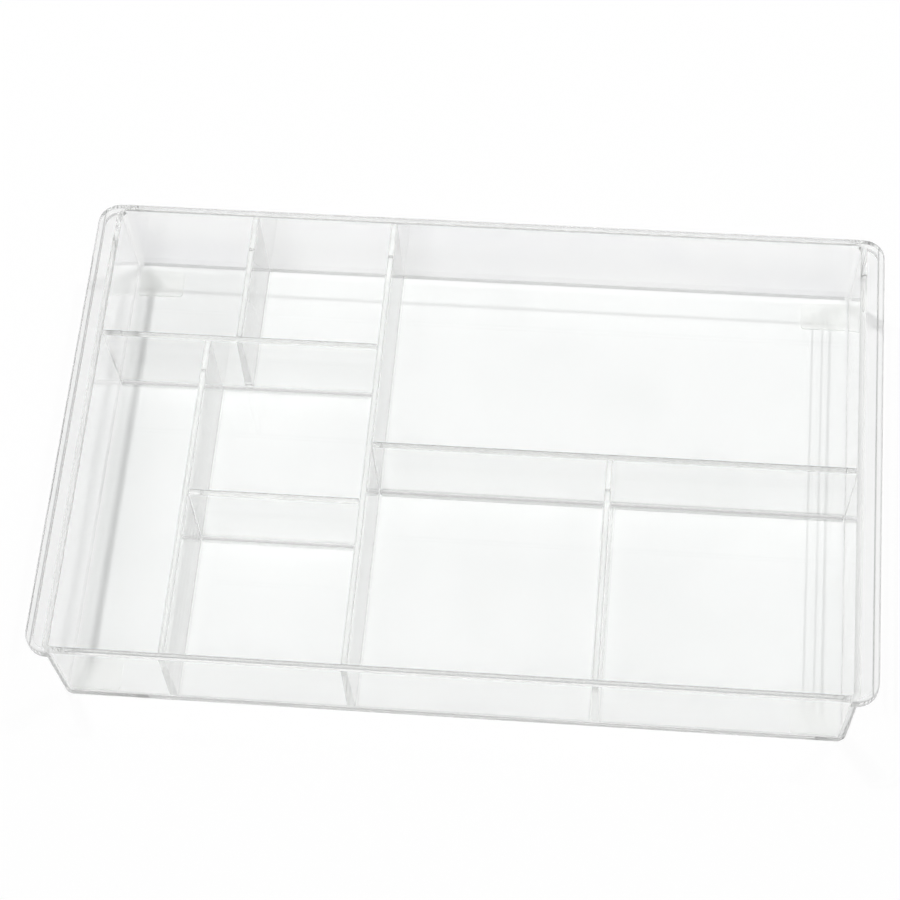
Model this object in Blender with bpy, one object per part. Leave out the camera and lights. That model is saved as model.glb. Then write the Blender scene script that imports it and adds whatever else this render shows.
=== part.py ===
# Clear plastic drawer organizer: a shallow tray with two side flanges, seven
# upright dividers that make eight compartments, and four thin corner feet.
# Metres, +Z up. The origin is on the surface that the feet stand on, under the
# middle of the tray. +X runs along the long side and the front wall faces -Y.

import math

import bmesh
import bpy
from mathutils import Vector

# Overall size of the tray.
OVERALL_LENGTH = 0.381
OVERALL_DEPTH = 0.2413
OVERALL_HEIGHT = 0.050

# Walls and floor. A draft is how far a face leans inward from the rim to the underside.
WALL_THICKNESS = 0.0033
FLOOR_THICKNESS = 0.0029
SIDE_DRAFT = 0.0025
END_DRAFT = 0.0013
BODY_CORNER_RADIUS = 0.005
BOTTOM_EDGE_RADIUS = 0.0016
FILLET_RADIUS = 0.0012

# Side flanges, each a flat plate with a lip turned down along its outer edge.
FLANGE_REACH = 0.0080
FLANGE_THICKNESS = 0.0025
FLANGE_CORNER_RADIUS = 0.010
FLANGE_END_SETBACK = 0.0002
LIP_DEPTH = 0.005
LIP_THICKNESS = 0.0029

# Dividers: centre lines measured from the middle of the tray.
DIVIDER_TOP_THICKNESS = 0.0029
DIVIDER_FOOT_THICKNESS = 0.0040
CENTRE_DIVIDER_X = -0.0456
REAR_LEFT_DIVIDER_X = -0.1134
LANE_DIVIDER_X = -0.1279
FRONT_RIGHT_DIVIDER_X = 0.0661
LEFT_CROSS_DIVIDER_Y = 0.0476
MIDDLE_CROSS_DIVIDER_Y = -0.0353
RIGHT_CROSS_DIVIDER_Y = -0.0053

# Corner feet.
FOOT_LENGTH = 0.0227
FOOT_DEPTH = 0.0147
FOOT_HEIGHT = 0.0009
FOOT_CORNER_RADIUS = 0.002
FOOT_INSET_X = 0.0031
FOOT_INSET_Y = 0.0057

# Fits and finish.
SEAT_GAP = 0.0003
EDGE_ROUND = 0.0004
CUT_OVERRUN = 0.002

CORNER_STEPS = 8
EDGE_STEPS = 3
FILLET_STEPS = 4
ROUND_STEPS = 2
SHARP_EDGE_ANGLE = math.radians(50)

CLEAR_PLASTIC = (0.90, 0.93, 0.92, 1.0)
CLEAR_ROUGHNESS = 0.06
FOOT_PLASTIC = (0.78, 0.80, 0.77, 1.0)
FOOT_ROUGHNESS = 0.35

# Heights and half sizes that follow from the values above.
UNDERSIDE_Z = FOOT_HEIGHT + SEAT_GAP
FLOOR_Z = UNDERSIDE_Z + FLOOR_THICKNESS
BODY_HEIGHT = OVERALL_HEIGHT - UNDERSIDE_Z
INNER_HALF_LENGTH = OVERALL_LENGTH / 2 - FLANGE_REACH - WALL_THICKNESS
INNER_HALF_DEPTH = OVERALL_DEPTH / 2 - WALL_THICKNESS


def drop_share(z):
    # How far down the body a height lies: 0 at the rim, 1 at the underside.
    return (OVERALL_HEIGHT - z) / BODY_HEIGHT


def inner_half_length(z):
    return INNER_HALF_LENGTH - SIDE_DRAFT * drop_share(z)


def inner_half_depth(z):
    return INNER_HALF_DEPTH - END_DRAFT * drop_share(z)


def fillet_reach(z, base_z):
    # How far the hollow rounding over a base stands out from the face above it.
    rise = min(max(z - base_z, 0), FILLET_RADIUS)
    return FILLET_RADIUS - math.sqrt(FILLET_RADIUS ** 2 - (FILLET_RADIUS - rise) ** 2)


def fillet_heights(base_z):
    heights = []
    for step in range(FILLET_STEPS + 1):
        angle = math.pi / 2 * step / FILLET_STEPS
        heights.append(base_z + FILLET_RADIUS * (1 - math.cos(angle)))
    return heights


def divider_half_thickness(z):
    growth = (DIVIDER_FOOT_THICKNESS - DIVIDER_TOP_THICKNESS) * drop_share(z)
    return (DIVIDER_TOP_THICKNESS + growth) / 2 + fillet_reach(z, FLOOR_Z + SEAT_GAP)


def clear_scene():
    for item in list(bpy.data.objects):
        bpy.data.objects.remove(item, do_unlink=True)


def plastic(name, colour, roughness):
    material = bpy.data.materials.new(name + "_plastic")
    material.use_nodes = True
    shader = material.node_tree.nodes["Principled BSDF"]
    shader.inputs["Base Color"].default_value = colour
    shader.inputs["Roughness"].default_value = roughness
    shader.inputs["Metallic"].default_value = 0
    shader.inputs["Transmission Weight"].default_value = 1
    return material


def add_object(name, mesh_builder):
    mesh = bpy.data.meshes.new(name)
    bmesh.ops.recalc_face_normals(mesh_builder, faces=mesh_builder.faces)
    mesh_builder.to_mesh(mesh)
    mesh_builder.free()
    item = bpy.data.objects.new(name, mesh)
    bpy.context.collection.objects.link(item)
    return item


def finish(item, colour, roughness):
    item.data.materials.append(plastic(item.name, colour, roughness))
    item.data.shade_smooth()
    item.data.set_sharp_from_angle(angle=SHARP_EDGE_ANGLE)


def round_edges(item, limit_method):
    bevel = item.modifiers.new("edge_round", "BEVEL")
    bevel.width = EDGE_ROUND
    bevel.segments = ROUND_STEPS
    bevel.limit_method = limit_method
    bevel.angle_limit = SHARP_EDGE_ANGLE


def combine(item, tool, operation):
    # The tool only shapes the item, so it is kept out of the finished model.
    modifier = item.modifiers.new(tool.name, "BOOLEAN")
    modifier.operation = operation
    modifier.solver = "EXACT"
    modifier.object = tool
    tool.hide_render = True
    tool.display_type = "WIRE"


def rounded_rectangle(half_x, half_y, radius, z):
    # Points counter-clockwise, from where the right side meets the back right arc.
    points = []
    for corner, (side_x, side_y) in enumerate(((1, 1), (-1, 1), (-1, -1), (1, -1))):
        centre = Vector((side_x * (half_x - radius), side_y * (half_y - radius), z))
        for step in range(CORNER_STEPS + 1):
            angle = math.pi / 2 * (corner + step / CORNER_STEPS)
            points.append(centre + Vector((math.cos(angle), math.sin(angle), 0)) * radius)
    return points


def loft(name, outlines):
    # A closed solid through outlines of equal point count, the lowest one first.
    builder = bmesh.new()
    rings = [[builder.verts.new(point) for point in outline] for outline in outlines]
    for lower, upper in zip(rings, rings[1:]):
        for index in range(len(lower)):
            after = (index + 1) % len(lower)
            builder.faces.new((lower[index], lower[after], upper[after], upper[index]))
    builder.faces.new(list(reversed(rings[0])))
    builder.faces.new(rings[-1])
    return add_object(name, builder)


def body_outline(z, inset):
    # The outside of the walls at a height, drawn in by an inset for the bottom edge.
    half_x = inner_half_length(z) + WALL_THICKNESS - inset
    half_y = inner_half_depth(z) + WALL_THICKNESS - inset
    return rounded_rectangle(half_x, half_y, BODY_CORNER_RADIUS - inset, z)


def tray_body():
    outlines = []
    for step in range(EDGE_STEPS + 1):
        angle = math.pi / 2 * step / EDGE_STEPS
        inset = BOTTOM_EDGE_RADIUS * (1 - math.sin(angle))
        z = UNDERSIDE_Z + BOTTOM_EDGE_RADIUS * (1 - math.cos(angle))
        outlines.append(body_outline(z, inset))
    outlines.append(body_outline(OVERALL_HEIGHT, 0))
    return loft("tray_shell", outlines)


def tray_cavity():
    outlines = []
    for z in fillet_heights(FLOOR_Z) + [OVERALL_HEIGHT + CUT_OVERRUN]:
        inset = fillet_reach(z, FLOOR_Z)
        half_x = inner_half_length(z) - inset
        half_y = inner_half_depth(z) - inset
        radius = BODY_CORNER_RADIUS - WALL_THICKNESS - inset
        outlines.append(rounded_rectangle(half_x, half_y, radius, z))
    return loft("tray_cavity", outlines)


def flange_outline(z, inset):
    half_x = OVERALL_LENGTH / 2 - inset
    half_y = OVERALL_DEPTH / 2 - FLANGE_END_SETBACK - inset
    return rounded_rectangle(half_x, half_y, FLANGE_CORNER_RADIUS - inset, z)


def flange_blank():
    # The two flanges and their lips, still joined across the cavity.
    lip_z = OVERALL_HEIGHT - LIP_DEPTH
    plate_z = OVERALL_HEIGHT - FLANGE_THICKNESS
    blank = loft("flange_blank", [flange_outline(lip_z, 0), flange_outline(OVERALL_HEIGHT, 0)])
    low = flange_outline(lip_z - CUT_OVERRUN, LIP_THICKNESS)
    high = flange_outline(plate_z, LIP_THICKNESS)
    combine(blank, loft("flange_recess", [low, high]), "DIFFERENCE")
    return blank


def tray_shell():
    shell = tray_body()
    combine(shell, flange_blank(), "UNION")
    combine(shell, tray_cavity(), "DIFFERENCE")
    round_edges(shell, "ANGLE")
    finish(shell, CLEAR_PLASTIC, CLEAR_ROUGHNESS)


# Faces that a divider's end can stop at: each gives a place along the divider
# at a height, on the side that the divider comes from.

def wall_face(half_size, side):
    return lambda z: side * (half_size(z) - fillet_reach(z, FLOOR_Z) - SEAT_GAP)


def divider_face(centre, side):
    return lambda z: centre + side * (divider_half_thickness(z) + SEAT_GAP)


def divider(name, centre, start_face, end_face, along_x):
    # A panel that thickens and flares toward its foot, with ends that follow their
    # seats. Only the edges round its top are rounded over.
    builder = bmesh.new()
    rings = []
    for z in fillet_heights(FLOOR_Z + SEAT_GAP) + [OVERALL_HEIGHT]:
        half = divider_half_thickness(z)
        start = start_face(z)
        end = end_face(z)
        corners = ((start, -half), (end, -half), (end, half), (start, half))
        ring = []
        for along, across in corners:
            place = (along, centre + across, z) if along_x else (centre + across, along, z)
            ring.append(builder.verts.new(place))
        rings.append(ring)
    builder.faces.new(rings[0])
    top_face = builder.faces.new(rings[-1])
    for lower, upper in zip(rings, rings[1:]):
        for index in range(len(lower)):
            after = (index + 1) % len(lower)
            builder.faces.new((lower[index], lower[after], upper[after], upper[index]))
    rounding = builder.edges.layers.float.new("bevel_weight_edge")
    for edge in top_face.edges:
        edge[rounding] = 1
    panel = add_object(name, builder)
    round_edges(panel, "WEIGHT")
    finish(panel, CLEAR_PLASTIC, CLEAR_ROUGHNESS)


def dividers():
    front = wall_face(inner_half_depth, -1)
    back = wall_face(inner_half_depth, 1)
    left = wall_face(inner_half_length, -1)
    right = wall_face(inner_half_length, 1)
    centre_left = divider_face(CENTRE_DIVIDER_X, -1)
    centre_right = divider_face(CENTRE_DIVIDER_X, 1)
    cross_front = divider_face(LEFT_CROSS_DIVIDER_Y, -1)
    cross_back = divider_face(LEFT_CROSS_DIVIDER_Y, 1)
    lane_right = divider_face(LANE_DIVIDER_X, 1)
    right_cross_front = divider_face(RIGHT_CROSS_DIVIDER_Y, -1)
    divider("centre_divider", CENTRE_DIVIDER_X, front, back, False)
    divider("left_cross_divider", LEFT_CROSS_DIVIDER_Y, left, centre_left, True)
    divider("right_cross_divider", RIGHT_CROSS_DIVIDER_Y, centre_right, right, True)
    divider("rear_left_divider", REAR_LEFT_DIVIDER_X, cross_back, back, False)
    divider("lane_divider", LANE_DIVIDER_X, front, cross_front, False)
    divider("middle_cross_divider", MIDDLE_CROSS_DIVIDER_Y, lane_right, centre_left, True)
    divider("front_right_divider", FRONT_RIGHT_DIVIDER_X, front, right_cross_front, False)


def foot_outline(z):
    return rounded_rectangle(FOOT_LENGTH / 2, FOOT_DEPTH / 2, FOOT_CORNER_RADIUS, z)


def feet():
    centre_x = inner_half_length(UNDERSIDE_Z) + WALL_THICKNESS - FOOT_INSET_X - FOOT_LENGTH / 2
    centre_y = inner_half_depth(UNDERSIDE_Z) + WALL_THICKNESS - FOOT_INSET_Y - FOOT_DEPTH / 2
    for end_name, side_y in (("front", -1), ("back", 1)):
        for side_name, side_x in (("left", -1), ("right", 1)):
            name = "foot_" + end_name + "_" + side_name
            foot = loft(name, [foot_outline(0), foot_outline(FOOT_HEIGHT)])
            foot.location = (side_x * centre_x, side_y * centre_y, 0)
            finish(foot, FOOT_PLASTIC, FOOT_ROUGHNESS)


def main():
    clear_scene()
    tray_shell()
    dividers()
    feet()


main()
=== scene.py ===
# Clear plastic drawer organizer: the finish of the tray, its dividers and its feet,
# with the floor, the lights and the camera. Metres, +Z up.
import math

import bpy
from mathutils import Euler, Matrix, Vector


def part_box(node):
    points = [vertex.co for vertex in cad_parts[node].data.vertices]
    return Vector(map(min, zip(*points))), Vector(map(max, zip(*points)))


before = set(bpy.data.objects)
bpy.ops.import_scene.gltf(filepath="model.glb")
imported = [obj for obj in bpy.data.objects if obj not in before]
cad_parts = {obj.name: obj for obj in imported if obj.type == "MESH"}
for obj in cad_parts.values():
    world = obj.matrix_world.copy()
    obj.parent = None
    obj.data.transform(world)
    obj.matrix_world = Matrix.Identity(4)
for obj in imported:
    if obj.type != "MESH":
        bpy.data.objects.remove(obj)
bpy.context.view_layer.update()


# Shader maths: a Wire is one socket, and an expression on Wires adds its Math nodes.
class Wire:
    def __init__(self, graph, socket):
        self.graph = graph
        self.socket = socket

    def maths(self, operation, *others, flip=False):
        terms = [self, *others]
        if flip:
            terms.reverse()
        return self.graph.add("ShaderNodeMath", {"operation": operation}, dict(enumerate(terms)))

    def __add__(self, other):
        return self.maths("ADD", other)

    def __radd__(self, other):
        return self.maths("ADD", other, flip=True)

    def __sub__(self, other):
        return self.maths("SUBTRACT", other)

    def __rsub__(self, other):
        return self.maths("SUBTRACT", other, flip=True)

    def __mul__(self, other):
        return self.maths("MULTIPLY", other)

    def __rmul__(self, other):
        return self.maths("MULTIPLY", other, flip=True)

    def __truediv__(self, other):
        return self.maths("DIVIDE", other)

    def __rtruediv__(self, other):
        return self.maths("DIVIDE", other, flip=True)

    def __pow__(self, other):
        return self.maths("POWER", other)

    def __rpow__(self, other):
        return self.maths("POWER", other, flip=True)

    def size(self):
        return self.maths("ABSOLUTE")

    def over(self, other):
        return self.maths("MAXIMUM", other)

    def under(self, other):
        return self.maths("MINIMUM", other)

    def above(self, level, soft):  # 0 below the level, 1 above it, smooth over the soft width
        limits = {0: self, 1: level - soft, 2: level + soft, 3: 0.0, 4: 1.0}
        return self.graph.add("ShaderNodeMapRange", {"interpolation_type": "SMOOTHSTEP"}, limits)

    def between(self, low, high, soft):
        return self.above(low, soft) * (1 - self.above(high, soft))


class Graph:
    def __init__(self, tree):
        self.tree = tree
        self.tree.nodes.clear()

    def node(self, kind, settings=None, values=None):
        made = self.tree.nodes.new(kind)
        for name, value in (settings or {}).items():
            setattr(made, name, value)
        for name, value in (values or {}).items():
            self.join(value, made.inputs[name])
        return made

    def add(self, kind, settings=None, values=None, out=0):
        return Wire(self, self.node(kind, settings, values).outputs[out])

    def join(self, value, socket):
        if isinstance(value, Wire):
            self.tree.links.new(value.socket, socket)
        elif isinstance(value, bpy.types.NodeSocket):
            self.tree.links.new(value, socket)
        else:
            socket.default_value = value

    def mixColour(self, share, first, second):
        settings = {"data_type": "RGBA", "clamp_factor": True}
        return self.add("ShaderNodeMix", settings, {0: share, 6: first, 7: second}, out=2)

    def parts(self, vector):
        made = self.node("ShaderNodeSeparateXYZ", None, {0: vector})
        return [Wire(self, made.outputs[i]) for i in range(3)]

    def objectPlace(self):
        return self.add("ShaderNodeTexCoord", out=3)

    def smoothNormal(self):
        return self.add("ShaderNodeNewGeometry", out=1)

    def plainNormal(self):  # of the triangle itself
        return self.add("ShaderNodeNewGeometry", out=3)

    def noise(self, place, perMetre, stretch=(1, 1, 1), detail=2.0):
        moved = self.add("ShaderNodeMapping", {"vector_type": "POINT"}, {"Vector": place, "Scale": stretch})
        return self.add("ShaderNodeTexNoise", {"noise_dimensions": "3D"},
                        {"Vector": moved, "Scale": perMetre, "Detail": detail})

    def clearWay(self, share):  # what a lamp's ray keeps where it goes straight through
        return self.add("ShaderNodeBsdfTransparent", None, {"Color": (share, share, share, 1)})

    def choose(self, share, first, second):
        return self.add("ShaderNodeMixShader", None, {0: share, 1: first, 2: second})


def newMaterial(name):
    material = bpy.data.materials.new(name)
    material.use_nodes = True
    return material, Graph(material.node_tree)


def giveMaterial(node, material):
    node.data.materials.clear()
    node.data.materials.append(material)


# Signed distance to a rounded rectangle about the origin, seen from above: with qx and qy
# how far the point is past the straight sides less the radius, it is the length of their
# positive parts, plus the larger of them where both are negative, less the radius.
def rectangleDistance(x, y, halfX, halfY, radius):
    qx = x.size() - (halfX - radius)
    qy = y.size() - (halfY - radius)
    outside = (qx.over(0.0) ** 2.0 + qy.over(0.0) ** 2.0) ** 0.5
    return outside + qx.over(qy).under(0.0) - radius


# How far a mask fades to each side of its border, in metres. Where a border goes to above()
# or between() with a star, its last number says this for that border alone.
crispSoft = 0.0001
lineSoft = 0.0002
edgeSoft = 0.0003
borderSoft = 0.0005
wideSoft = 0.001

white = (1, 1, 1, 1)

# Faces are told apart by the Z of their normal, without its sign: 0 is upright, 1 is level.
faces = {
    "flatFrom": 0.985, "flatSoft": 0.005,
    "uprightTo": 0.10,
    "rounded": (0.14, 0.975),
    "soft": 0.02,
    "topDepth": 0.0006,  # the tops of walls and dividers lie less than this below the rim
    "stripHalf": 0.00145,  # half the width of a divider's top
}


def flatFaces(level):
    return level.above(faces["flatFrom"], faces["flatSoft"])


def roundedFaces(level):
    return level.between(*faces["rounded"], faces["soft"])


def topFaces(height, rim):
    return height.above(rim - faces["topDepth"], crispSoft)


def middleOf(name, axis):
    low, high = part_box(name)
    return (low[axis] + high[axis]) / 2


# The clear plastic, the same for every piece. It bends what is seen through it, and long ways
# inside it come out a little darker and olive.
clearPlastic = {
    "refraction": 1.50,
    "inside": (0.946, 0.949, 0.945, 1.0),
    "insideDensity": 12.0,
    "wavesPerMetre": 30.0,  # soft waviness of the moulded faces
    "waveDetail": 1.0,
    "waveHeight": 0.00003,
}


def finishGlass(graph, place, colour, roughness, lampWay):
    look = clearPlastic
    waves = graph.noise(place, look["wavesPerMetre"], detail=look["waveDetail"])
    plain = graph.plainNormal()
    level = graph.parts(plain)[2].size()
    plane = flatFaces(level) + 1 - level.above(faces["uprightTo"], faces["soft"])
    facing = graph.add("ShaderNodeMix", {"data_type": "VECTOR"},  # keeps the wide plane faces plane
                       {0: plane, 4: graph.smoothNormal(), 5: plain}, out=1)
    bump = graph.add("ShaderNodeBump", None, {
        "Strength": 1.0, "Distance": look["waveHeight"], "Height": waves, "Normal": facing})
    glass = graph.add("ShaderNodeBsdfPrincipled", None, {
        "Base Color": colour, "IOR": look["refraction"], "Transmission Weight": 1.0,
        "Roughness": roughness, "Normal": bump})
    path = graph.node("ShaderNodeLightPath")
    surface = graph.choose(path.outputs["Is Shadow Ray"], glass, lampWay)
    inside = graph.add("ShaderNodeVolumeAbsorption", None,
                       {"Color": look["inside"], "Density": look["insideDensity"]})
    graph.node("ShaderNodeOutputMaterial", None, {"Surface": surface, "Volume": inside})


# The tray: painted shade draws grey lines along the edges of the rim, makes the walls a shade
# greyer than the floor, and darkens its rounded edges and the fillet at the floor; the rounded
# edges are also a little frosted. Its outline, its rim and the places of its dividers come from the frame.
trayShell = {
    # the floor's own tint. Painted shade: random darker patches on floor and walls, and the walls' grey,
    # lighter on the front and side walls than on the back
    "floor": (0.978, 0.986, 0.981, 1.0),
    "floorPatch": (0.962, 0.971, 0.966, 1.0),
    "wall": (0.962, 0.965, 0.964, 1.0),
    "wallPatch": (0.930, 0.933, 0.941, 1.0),
    "frontWall": (0.987, 0.989, 0.987, 1.0), "frontWallTo": -0.1165,
    "sideWall": (0.966, 0.969, 0.969, 1.0), "sideWallFrom": 0.1752,
    "patchesPerMetre": 14.0, "patchBorder": (0.55, 0.12),
    "line": (0.20, 0.20, 0.20, 1.0),  # the colour that the shades below lead to
    # painted shade on the tops of the walls, fading from their inner edge
    "frontStrip": 0.14, "leftStrip": 0.06, "rightStrip": 0.42,
    "leftInnerLine": 0.10, "rightInnerLine": 0.46, "backInnerLine": 0.70, "frontInnerLine": 0.62,
    "leftOutline": 0.36, "rightOutline": 0.54, "backOutline": 0.16,
    "lipLine": 0.72,
    "innerFaceTo": 0.0008,  # a wall's inner face lies less than this outside the cavity's outline
    # painted shade on the rounded edges above the fillet and on the fillet where the walls meet the floor
    "roundedEdge": 0.16, "roundedEdgeFrom": 0.0056,
    "footLine": 0.42, "footLineHeights": (0.0039, 0.0054),  # the fillet where the walls meet the floor
    "footShade": 0.10, "footReach": 0.0075, "footFade": 0.002,
    # painted shade on the back wall to the right of the left wall and of these dividers
    "cornerShade": 0.10, "cornersRightOf": ("rear_left_divider", "centre_divider"),
    "cornersBehind": 0.11, "cornerWidth": 0.013, "cornerFade": 0.010,
    # painted shade: the floor on the left is greyer
    "greyCell": 0.09, "greyCellTo": (-0.118, 0.018),
    "greyLane": 0.055, "greyLaneTo": (-0.152, 0.016),
    "edgeRoughness": 0.22,
    "rimFrost": 0.25, "frostedCornerX": 0.1775, "frostedCornerY": (0.112, 0.002),
    "bottomFrost": 0.35, "bottomLevel": 0.0031,  # the rounded edge underneath
    "topRoughness": 0.06,
    "lineWidth": 0.0007,
    "wallThickness": 0.0033, "lipThickness": 0.0029,
    "flangeWidth": 0.0113,  # from the outline to the cavity
    "innerRadius": 0.0035, "outerRadius": 0.010,
    # what a lamp's ray keeps on its way through each place
    "lampThrough": {"wall": 0.985, "floor": 0.96, "leftWall": 0.91, "corner": 0.60, "backRim": 0.65,
                    "rightRim": 0.0, "leftShoulder": 0.45, "leftRim": 0.0},
    "leftWallTo": -0.174, "lampCornerX": 0.1745, "lampCornerY": 0.113,
    # strips of the rim that draw the thin lines on the floor beside the walls
    "backRim": (0.1178, 0.1196, 0.0002),
    "rightRims": ((0.1804, 0.1814, 0.0001), (0.1852, 0.1862, 0.0001), (0.1886, 0.1900, 0.0001)),
    "leftShoulder": (-0.1835, -0.1785, 0.0006), "leftRim": (-0.1822, -0.1804, 0.0002),
    # the side rims draw no line where the floor shows through the front wall
    "linesBehind": (-0.083, 0.003),
}


def shellWay(graph, x, y, flat, top):
    look = trayShell
    steep = 1 - flat
    cornerX = x.size().above(look["lampCornerX"], borderSoft)
    cornerY = y.size().above(look["lampCornerY"], borderSoft)
    drawn = top * y.above(*look["linesBehind"])
    masks = {
        "floor": flat,
        "leftWall": steep * (1 - x.above(look["leftWallTo"], borderSoft)),
        "corner": steep * cornerX * cornerY,
        "backRim": top * y.between(*look["backRim"]),
        "rightRim": drawn * sum(x.between(*strip) for strip in look["rightRims"]),
        "leftShoulder": drawn * x.between(*look["leftShoulder"]),
        "leftRim": drawn * x.between(*look["leftRim"]),
    }
    keeps = look["lampThrough"]
    way = graph.clearWay(keeps["wall"])
    for name, mask in masks.items():
        way = graph.choose(mask, way, graph.clearWay(keeps[name]))
    return way


def dressShell(node):
    look = trayShell
    material, graph = newMaterial("clearShell")
    place = graph.objectPlace()
    x, y, z = graph.parts(place)
    level = graph.parts(graph.plainNormal())[2].size()
    flat = flatFaces(level)
    steep = 1 - flat
    rounded = roundedFaces(level)
    outerX, outerY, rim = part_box("tray_shell")[1]
    innerX = outerX - look["flangeWidth"]
    innerY = outerY - look["wallThickness"]
    top = topFaces(z, rim)
    below = 1 - top
    fromCavity = rectangleDistance(x, y, innerX, innerY, look["innerRadius"])
    fromOutline = rectangleDistance(x, y, outerX, outerY, look["outerRadius"])
    fromLip = x.size() - (outerX - look["lipThickness"])
    side = x.size().above(innerX - wideSoft, wideSoft)
    right = side * x.above(0.0, wideSoft)
    left = side - right
    back = (1 - side) * y.above(0.0, wideSoft)
    front = (1 - side) * (1 - back)
    sideWall = x.size().above(look["sideWallFrom"], edgeSoft)

    # the colours of the floor, the walls and their tops: the patches and the walls' grey are painted shade
    patches = graph.noise(place, look["patchesPerMetre"]).above(*look["patchBorder"])
    wall = graph.mixColour(patches, look["wall"], look["wallPatch"])
    wall = graph.mixColour(sideWall, wall, look["sideWall"])
    wall = graph.mixColour(y.above(look["frontWallTo"], edgeSoft), look["frontWall"], wall)
    floor = graph.mixColour(patches, look["floor"], look["floorPatch"])
    colour = graph.mixColour(flat, wall, floor)
    colour = graph.mixColour(top, colour, white)

    # painted shade on the tops of the walls
    width = look["lineWidth"]
    innerLine = 1 - fromCavity.above(width, lineSoft)
    outline = fromOutline.above(-width, lineSoft)
    lipLine = 1 - fromLip.size().above(width * 0.5, lineSoft)
    strip = 1 - fromCavity.above(look["wallThickness"], lineSoft)
    innerShade = right * look["rightInnerLine"] + left * look["leftInnerLine"]
    innerShade = innerShade + back * look["backInnerLine"] + front * look["frontInnerLine"]
    fading = strip * (1 - fromCavity * (1 / look["wallThickness"]))
    fading = fading * (front * look["frontStrip"] + right * look["rightStrip"] + left * look["leftStrip"])
    outerShade = right * look["rightOutline"] + left * look["leftOutline"] + back * look["backOutline"]
    shade = (innerLine * innerShade).over(outline * outerShade)
    shade = top * shade.over(fading).over(lipLine * side * look["lipLine"])

    # painted shade below them: rounded edges, the foot of the walls, the floor on the left and
    # the back wall to the right of three corners
    innerFace = 1 - fromCavity.above(look["innerFaceTo"], edgeSoft)
    upright = below * steep * (1 - sideWall) * innerFace
    foot = upright * (1 - z.above(look["footReach"] - look["footFade"], look["footFade"]))
    footLine = upright * z.between(*look["footLineHeights"], edgeSoft)
    overFillet = z.above(look["roundedEdgeFrom"], edgeSoft)
    edges = below * rounded * overFillet
    behind = y.above(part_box("left_cross_divider")[1][1], borderSoft)
    grey = behind * (1 - x.above(*look["greyCellTo"])) * look["greyCell"]
    grey = grey + (1 - behind) * (1 - x.above(*look["greyLaneTo"])) * look["greyLane"]
    shade = shade.over(edges * look["roundedEdge"]).over(foot * look["footShade"])
    shade = shade.over(footLine * look["footLine"]) + flat * below * grey
    backFace = steep * below * y.above(look["cornersBehind"], wideSoft) * look["cornerShade"]
    for edge in [-innerX] + [middleOf(name, 0) + faces["stripHalf"] for name in look["cornersRightOf"]]:
        wedge = x.above(edge, borderSoft) * (1 - x.above(edge + look["cornerWidth"], look["cornerFade"]))
        shade = shade + wedge * backFace
    colour = graph.mixColour(shade, colour, look["line"])

    # where the plastic is frosted
    cornerX = x.size().above(look["frostedCornerX"], wideSoft)
    cornerY = y.size().above(*look["frostedCornerY"])
    frosted = top * (innerLine * left).over(outline * (1 - side)).over(cornerX * cornerY)
    frosted = frosted.over(below * rounded * sideWall * (1 - overFillet))
    roughness = (edges * look["edgeRoughness"]).over(frosted * look["rimFrost"])
    roughness = roughness.over(top * strip * look["topRoughness"])
    bottom = steep * (1 - z.above(look["bottomLevel"], lineSoft)) * (1 - innerFace)
    roughness = roughness.over(bottom * look["bottomFrost"])
    finishGlass(graph, place, colour, roughness, shellWay(graph, x, y, flat, top))
    giveMaterial(node, material)


# A divider: painted shade gives its top strip a darker line along each edge and darkens its
# rounded edges, and its faces carry faint darker streaks along its length.
divider = {
    # the colour of its faces, a touch darker as painted shade on the lengthwise ones, then the
    # painted shades of its top strip: the edge in front or left, the middle, the edge behind or right
    "cross": {"face": (0.998, 0.999, 0.998, 1.0), "shades": (0.10, 0.06, 0.62)},
    "length": {"face": (0.996, 0.997, 0.997, 1.0), "shades": (0.34, 0.0, 0.34)},
    "line": (0.20, 0.20, 0.20, 1.0),  # the colour that the shades lead to
    # painted shade
    "crossFade": 0.11,  # a cross strip is darker behind than in front
    "streakShade": 0.025, "streakBorder": (0.55, 0.08),
    "streakAlong": 1.5, "streakAcross": 6.0, "streakUp": 260.0,  # of the streaks, per metre
    "roundedEdge": 0.14,
    # painted shade on the lowest part of a cross divider
    "footShades": {"right_cross_divider": 0.22, "left_cross_divider": 0.04, "middle_cross_divider": 0.06},
    "footReach": 0.0085, "footFade": 0.0017,
    "filletFrost": 0.30, "filletTop": 0.0047,
    # painted shade on the left end of a cross divider
    "endShade": 0.14, "endReach": 0.006, "endTop": (0.030, 0.014),  # the left end of a cross divider
    "edgeRoughness": 0.22,
    "topRoughness": 0.06,
    "lineWidth": 0.0007,
    "lampThrough": 0.99,
}


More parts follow.
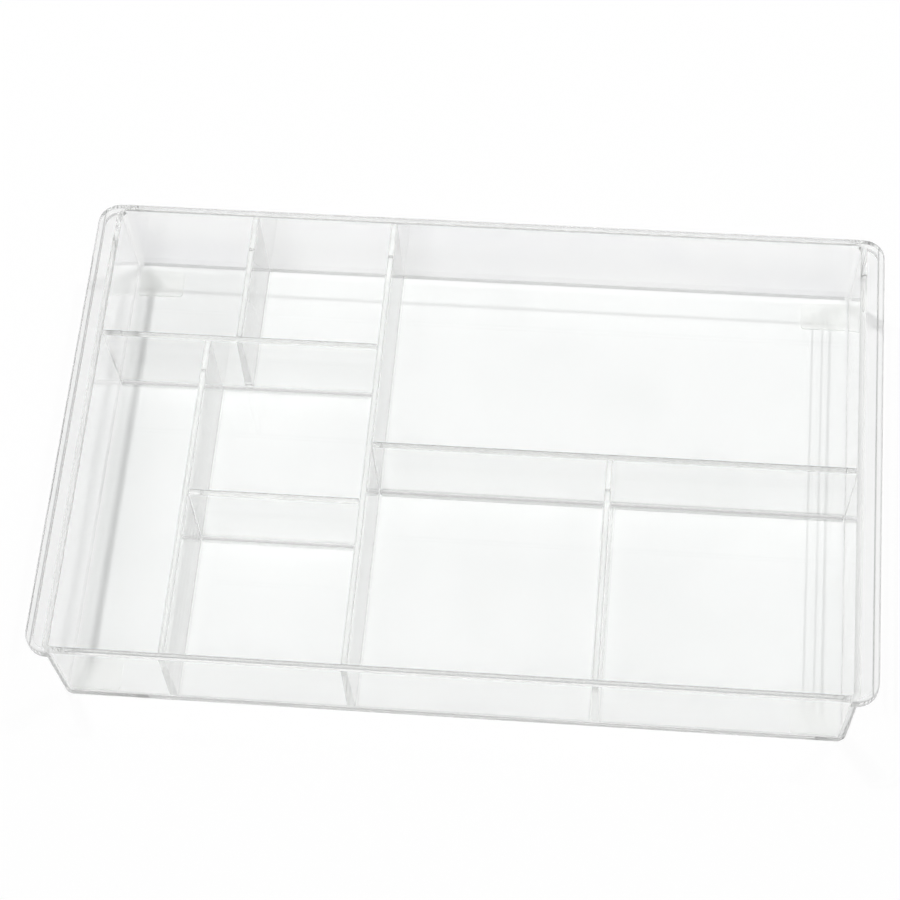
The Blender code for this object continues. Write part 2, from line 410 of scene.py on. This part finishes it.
def dressDivider(name, node):
    look = divider
    low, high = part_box(name)
    isCross = high.x - low.x > high.y - low.y
    along, across = (0, 1) if isCross else (1, 0)
    kind = look["cross"] if isCross else look["length"]
    material, graph = newMaterial("clear_" + name)
    place = graph.objectPlace()
    where = graph.parts(place)
    height = where[2]
    level = graph.parts(graph.plainNormal())[2].size()
    top = topFaces(height, high.z)
    below = 1 - top
    edges = below * roundedFaces(level)

    # painted shade on the strip on top and on the rounded edges below it, and the streaks below it
    aside = where[across] - middleOf(name, across)
    edge = faces["stripHalf"] - look["lineWidth"]
    nearShade, midShade, farShade = kind["shades"]
    shade = aside.above(edge, lineSoft) * (farShade - midShade)
    shade = shade + (0 - aside).above(edge, lineSoft) * (nearShade - midShade)
    if isCross:
        shade = shade + (aside * (0.5 / faces["stripHalf"]) + 0.5) * look["crossFade"]
    stretch = [0.0, 0.0, look["streakUp"]]
    stretch[along] = look["streakAlong"]
    stretch[across] = look["streakAcross"]
    streaks = graph.noise(place, 1.0, stretch).above(*look["streakBorder"]) * look["streakShade"]
    shade = (top * (shade + midShade)).over(edges * look["roundedEdge"]).over(below * streaks)

    # painted shade on the foot and the left end of a cross divider
    if isCross:
        lowest = 1 - height.above(look["footReach"] - look["footFade"], look["footFade"])
        shade = shade.over(lowest * look["footShades"][name])
        endFade = look["endReach"] * 0.5
        end = (1 - where[0].above(low.x + endFade, endFade)) * (1 - height.above(*look["endTop"]))
        shade = shade + end * look["endShade"]
    colour = graph.mixColour(top, kind["face"], white)
    colour = graph.mixColour(shade, colour, look["line"])
    fillet = 1 - height.above(look["filletTop"], edgeSoft)
    frost = fillet * (look["filletFrost"] - look["edgeRoughness"]) + look["edgeRoughness"]
    roughness = edges * frost + top * look["topRoughness"]
    finishGlass(graph, place, colour, roughness, graph.clearWay(look["lampThrough"]))
    giveMaterial(node, material)


# A foot: a thin hazy pad of soft clear plastic.
footPad = {
    "colour": (0.990, 0.990, 0.985, 1.0),
    "speck": (0.960, 0.960, 0.950, 1.0),
    "specksPerMetre": 900.0, "speckBorder": (0.55, 0.1),
    "roughness": 0.30, "speckRoughness": 0.1,
    "lampThrough": 0.98,
}


def dressFoot(name, node):
    look = footPad
    material, graph = newMaterial("clear_" + name)
    place = graph.objectPlace()
    specks = graph.noise(place, look["specksPerMetre"])
    colour = graph.mixColour(specks.above(*look["speckBorder"]), look["colour"], look["speck"])
    roughness = specks * look["speckRoughness"] + look["roughness"]
    finishGlass(graph, place, colour, roughness, graph.clearWay(look["lampThrough"]))
    giveMaterial(node, material)


for name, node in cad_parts.items():
    if name == "tray_shell":
        dressShell(node)
    elif name.startswith("foot"):
        dressFoot(name, node)
    else:
        dressDivider(name, node)
print("materials set")


# The floor is a flat white square, a little below the feet. The camera sees it brighter than lit.
ground = {
    "halfSize": 3.0,
    "height": -0.0003,
    "colour": (0.97, 0.97, 0.97, 1.0),
    "plainWhiteShare": 0.9,
}


def makeFloor():
    size = ground["halfSize"]
    signs = ((-1, -1), (1, -1), (1, 1), (-1, 1))
    corners = [(signX * size, signY * size, ground["height"]) for signX, signY in signs]
    mesh = bpy.data.meshes.new("floor")
    mesh.from_pydata(corners, [], [(0, 1, 2, 3)])
    floor = bpy.data.objects.new("floor", mesh)
    bpy.context.collection.objects.link(floor)
    material, graph = newMaterial("paleGround")
    lit = graph.add("ShaderNodeBsdfDiffuse", None, {"Color": ground["colour"]})
    plainWhite = graph.add("ShaderNodeEmission", None, {"Color": white, "Strength": 1.0})
    path = graph.node("ShaderNodeLightPath")
    share = Wire(graph, path.outputs["Is Camera Ray"]) * ground["plainWhiteShare"]
    graph.node("ShaderNodeOutputMaterial", None, {"Surface": graph.choose(share, lit, plainWhite)})
    mesh.materials.append(material)


makeFloor()
print("floor set")


# The room that lights the floor: grey overhead, paler at the sides, with one soft bright
# panel overhead in front. A ray sees it once it has met a diffuse surface. Before that it
# sees a brighter room without the panel, which the plastic mirrors and bends, and a ray
# straight from the camera sees white.
studio = {
    "aside": (0.455, 0.455, 0.455, 1.0),
    "overhead": (0.19, 0.19, 0.19, 1.0),
    "mirroredAside": (0.95, 0.95, 0.95, 1.0),
    "mirroredOverhead": (0.62, 0.62, 0.62, 1.0),
    "panel": (3.3, 3.3, 3.3, 1.0),
    "panelLean": (-0.62, -0.28, 0.08),  # how far it leans to the front, per metre up
    "panelHalfWidth": (0.5, 0.2),
    "panelHeight": (0.2, 0.1),
    "leastHeight": 0.05,  # what a lean is divided by, at least
    "worldStrength": 1.0,
}


def makeWorld():
    look = studio
    world = bpy.data.worlds.new("studio")
    world.use_nodes = True
    world.cycles.sampling_method = "NONE"  # its light bends through the plastic
    bpy.context.scene.world = world
    graph = Graph(world.node_tree)
    x, y, z = graph.parts(graph.add("ShaderNodeTexCoord", out=0))
    upward = z.over(0.0)
    height = z.over(look["leastHeight"])
    inWidth = 1 - (x / height).size().above(*look["panelHalfWidth"])
    panel = (y / height).between(*look["panelLean"]) * inWidth * z.above(*look["panelHeight"])
    lit = graph.mixColour(upward, look["aside"], look["overhead"])
    lit = graph.mixColour(panel, lit, look["panel"])
    mirrored = graph.mixColour(upward, look["mirroredAside"], look["mirroredOverhead"])
    path = graph.node("ShaderNodeLightPath")
    seen = graph.mixColour(path.outputs["Diffuse Depth"], mirrored, lit)
    seen = graph.mixColour(path.outputs["Is Camera Ray"], seen, white)
    back = graph.add("ShaderNodeBackground", None, {"Color": seen, "Strength": look["worldStrength"]})
    graph.node("ShaderNodeOutputWorld", None, {"Surface": back})


makeWorld()
print("room set")


# Two small lamps behind, above the tray. They give about half of the floor's light and draw
# the rim's shadow lines on it, and the plastic doesn't mirror them.
lamps = {
    "left": {"toward": (-0.275, 0.35, 1.0), "away": 4.0, "size": 0.08, "power": 58.0},
    "right": {"toward": (0.46, 0.35, 1.0), "away": 4.0, "size": 0.02, "power": 31.0},
}


def makeLamps():
    for name, look in lamps.items():
        data = bpy.data.lights.new(name + "Lamp", "AREA")
        data.size = look["size"]
        data.energy = look["power"]
        lamp = bpy.data.objects.new(name + "Lamp", data)
        toward = Vector(look["toward"]).normalized()
        lamp.location = toward * look["away"]
        lamp.rotation_euler = toward.to_track_quat("Z", "Y").to_euler()
        lamp.visible_glossy = False
        lamp.visible_transmission = False
        bpy.context.collection.objects.link(lamp)


makeLamps()
print("lamps set")


# The camera stands in front, about 60 degrees up, as the photograph was taken.
view = {
    "place": (0.0920, -0.5984, 1.1356),
    "turn": (28.85, 2.54, 4.97),  # degrees about X, Y and Z
    "focal": 107.3, "sensor": 36.0,  # millimetres
}


def makeCamera():
    data = bpy.data.cameras.new("camera")
    data.sensor_width = view["sensor"]
    data.lens = view["focal"]
    camera = bpy.data.objects.new("camera", data)
    camera.location = view["place"]
    camera.rotation_euler = Euler([math.radians(angle) for angle in view["turn"]], "XYZ")
    bpy.context.collection.objects.link(camera)
    bpy.context.scene.camera = camera


makeCamera()
bpy.context.scene.view_settings.view_transform = "Standard"
print("camera set")


# A ray passes many faces of clear plastic before it leaves the tray.
rays = {"bounces": 96, "straightThrough": 48}

cycles = bpy.context.scene.cycles
cycles.use_denoising = True
cycles.blur_glossy = 0.0
cycles.max_bounces = rays["bounces"]
cycles.transmission_bounces = rays["bounces"]
cycles.glossy_bounces = rays["bounces"]
cycles.transparent_max_bounces = rays["straightThrough"]
